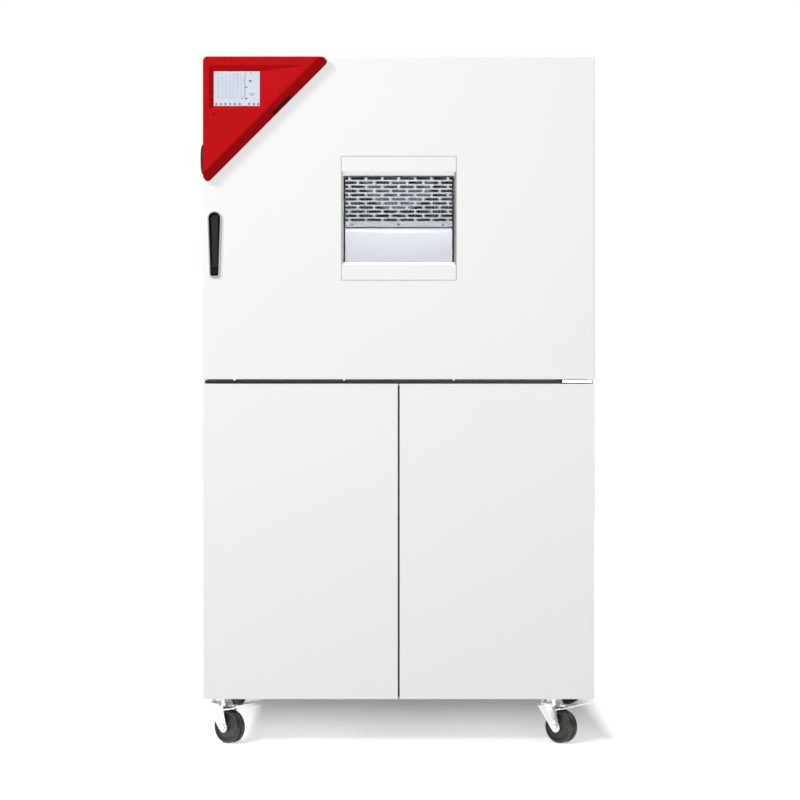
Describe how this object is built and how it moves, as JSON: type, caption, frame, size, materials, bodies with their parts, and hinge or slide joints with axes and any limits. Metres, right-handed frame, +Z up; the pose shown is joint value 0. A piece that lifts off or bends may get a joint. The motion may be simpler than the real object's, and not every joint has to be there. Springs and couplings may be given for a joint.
{
  "type": "environmental test chamber",
  "caption": "Free-standing environmental test chamber on castors with a windowed door, triangular controller, service doors and cooling plant.",
  "frame": {"origin": "on the ground under the centre of the bounding box", "axes": "+Z up, the door faces -Y, +X is to the right seen from the front"},
  "size_m": [0.9366, 0.912, 1.5575],
  "materials": {
    "white_paint": "satin powder coat",
    "grey_paint": "satin paint",
    "black_paint": "semi-matt",
    "stainless": "brushed",
    "zinc": "bright zinc",
    "aluminium": "mill finish",
    "copper": "bare tube",
    "foam": "foam",
    "black_plastic": "fine texture",
    "grey_plastic": "satin",
    "white_plastic": "satin",
    "red_plastic": "semi-gloss",
    "screen": "glossy",
    "glass": "clear",
    "black_rubber": "matt",
    "silicone": "matt",
    "tyre": "matt"
  },
  "bodies": {
    "cabinet": {"base_frame": "grey_paint", "upright_posts": "grey_paint", "machine_decks": "grey_paint", "cabinet_panels": "white_paint", "rear_cover": "white_paint", "front_divider": "black_paint", "front_collar": "stainless", "chamber_liner": "stainless", "chamber_foam": "foam", "air_baffle": "stainless", "temperature_probe": "black_rubber", "lower_air_panel": "stainless", "fan_motor": "black_paint", "heater": "stainless", "evaporator": "aluminium", "shelf_mounts": "stainless", "wire_shelf": "stainless", "chamber_lamp": "white_plastic", "hinge_arms": "zinc", "roller_catch": "zinc", "castor_plates": "zinc", "condenser": "aluminium", "condenser_shroud": "grey_paint", "pressure_vessels": "black_paint", "refrigerant_pipes": "copper", "condensate_tray": "stainless", "electrical_box": "grey_paint", "service_panel": "black_plastic", "rear_fittings": "black_plastic"},
    "door": {"door_skin": "white_paint", "door_foam": "foam", "door_liner": "stainless", "window_panes": "glass", "window_lining": "white_plastic", "window_spacers": "black_plastic", "door_seal": "silicone", "door_hardware": "zinc", "handle_bezel": "grey_plastic", "handle_pocket": "black_plastic", "controller_housing": "red_plastic", "display": "screen"},
    "lever": {"door_lever": "black_plastic"},
    "release_pin": {"release_pin": "zinc"},
    "left_leaf": {"left_service_door": "white_paint"},
    "right_leaf": {"right_service_door": "white_paint"},
    "circulation_fan": {"circulation_fan": "aluminium"},
    "condenser_fan": {"condenser_fan": "black_plastic"},
    "port_plug": {"port_plug": "black_rubber"},
    "main_switch": {"main_switch_knob": "black_plastic"},
    "swivel_fl": {"castor_fork_fl": "zinc"},
    "wheel_fl": {"castor_wheel_fl": "tyre"},
    "swivel_fr": {"castor_fork_fr": "zinc"},
    "wheel_fr": {"castor_wheel_fr": "tyre"},
    "swivel_rl": {"castor_fork_rl": "zinc"},
    "wheel_rl": {"castor_wheel_rl": "tyre"},
    "swivel_rr": {"castor_fork_rr": "zinc"},
    "wheel_rr": {"castor_wheel_rr": "tyre"},
    "pedal_fl": {"brake_pedal_fl": "zinc"},
    "pedal_fr": {"brake_pedal_fr": "zinc"}
  },
  "joints": [
    {"name": "door_hinge", "type": "hinge", "parent": "cabinet", "child": "door", "pos_m": [0.43, -0.42, 0.83], "axis": [0, 0, 1], "range_deg": [0, 110]},
    {"name": "lever_pivot", "type": "hinge", "parent": "door", "child": "lever", "pos_m": [-0.4165, -0.428, 1.194], "axis": [-1, 0, 0], "range_deg": [0, 25], "stiffness_Nm_per_rad": 0.6},
    {"name": "release_pin_slide", "type": "slide", "parent": "door", "child": "release_pin", "axis": [0, 1, 0], "range_m": [0, 0.004]},
    {"name": "left_service_hinge", "type": "hinge", "parent": "cabinet", "child": "left_leaf", "pos_m": [-0.4325, -0.4275, 0.1065], "axis": [0, 0, -1], "range_deg": [0, 105]},
    {"name": "right_service_hinge", "type": "hinge", "parent": "cabinet", "child": "right_leaf", "pos_m": [0.4325, -0.4275, 0.1065], "axis": [0, 0, 1], "range_deg": [0, 105]},
    {"name": "circulation_fan_spin", "type": "hinge", "parent": "cabinet", "child": "circulation_fan", "pos_m": [0, 0.228, 1.33], "axis": [0, -1, 0], "continuous": true},
    {"name": "condenser_fan_spin", "type": "hinge", "parent": "cabinet", "child": "condenser_fan", "pos_m": [0, 0.3265, 0.38], "axis": [0, -1, 0], "continuous": true},
    {"name": "port_plug_pull", "type": "slide", "parent": "cabinet", "child": "port_plug", "axis": [-1, 0, 0], "range_m": [0, 0.1]},
    {"name": "main_switch_turn", "type": "hinge", "parent": "cabinet", "child": "main_switch", "pos_m": [0.4425, 0.32, 1.18083], "axis": [1, 0, 0], "range_deg": [0, 90]},
    {"name": "castor_swivel_fl", "type": "hinge", "parent": "cabinet", "child": "swivel_fl", "pos_m": [-0.406, -0.363, 0.084], "axis": [0, 0, 1], "continuous": true},
    {"name": "castor_wheel_spin_fl", "type": "hinge", "parent": "swivel_fl", "child": "wheel_fl", "pos_m": [-0.38593, -0.38107, 0.0375], "axis": [0.6691, 0.7431, 0], "continuous": true},
    {"name": "brake_pedal_press_fl", "type": "hinge", "parent": "swivel_fl", "child": "pedal_fl", "pos_m": [-0.3956, -0.37237, 0.079], "axis": [0.6691, 0.7431, 0], "range_deg": [0, 10]},
    {"name": "castor_swivel_fr", "type": "hinge", "parent": "cabinet", "child": "swivel_fr", "pos_m": [0.351, -0.363, 0.084], "axis": [0, 0, 1], "continuous": true},
    {"name": "castor_wheel_spin_fr", "type": "hinge", "parent": "swivel_fr", "child": "wheel_fr", "pos_m": [0.37106, -0.38107, 0.0375], "axis": [0.6691, 0.7431, 0], "continuous": true},
    {"name": "brake_pedal_press_fr", "type": "hinge", "parent": "swivel_fr", "child": "pedal_fr", "pos_m": [0.3614, -0.37237, 0.079], "axis": [0.6691, 0.7431, 0], "range_deg": [0, 10]},
    {"name": "castor_swivel_rl", "type": "hinge", "parent": "cabinet", "child": "swivel_rl", "pos_m": [-0.404, 0.345, 0.084], "axis": [0, 0, 1], "continuous": true},
    {"name": "castor_wheel_spin_rl", "type": "hinge", "parent": "swivel_rl", "child": "wheel_rl", "pos_m": [-0.41279, 0.31947, 0.0375], "axis": [0.9455, -0.3256, 0], "continuous": true},
    {"name": "castor_swivel_rr", "type": "hinge", "parent": "cabinet", "child": "swivel_rr", "pos_m": [0.406, 0.345, 0.084], "axis": [0, 0, 1], "continuous": true},
    {"name": "castor_wheel_spin_rr", "type": "hinge", "parent": "swivel_rr", "child": "wheel_rr", "pos_m": [0.43085, 0.33445, 0.0375], "axis": [0.3907, 0.9205, 0], "continuous": true}
  ],
  "couplings": [
    {"joint": "release_pin_slide", "follows": "lever_pivot", "m_per_rad": 0.009167}
  ]
}
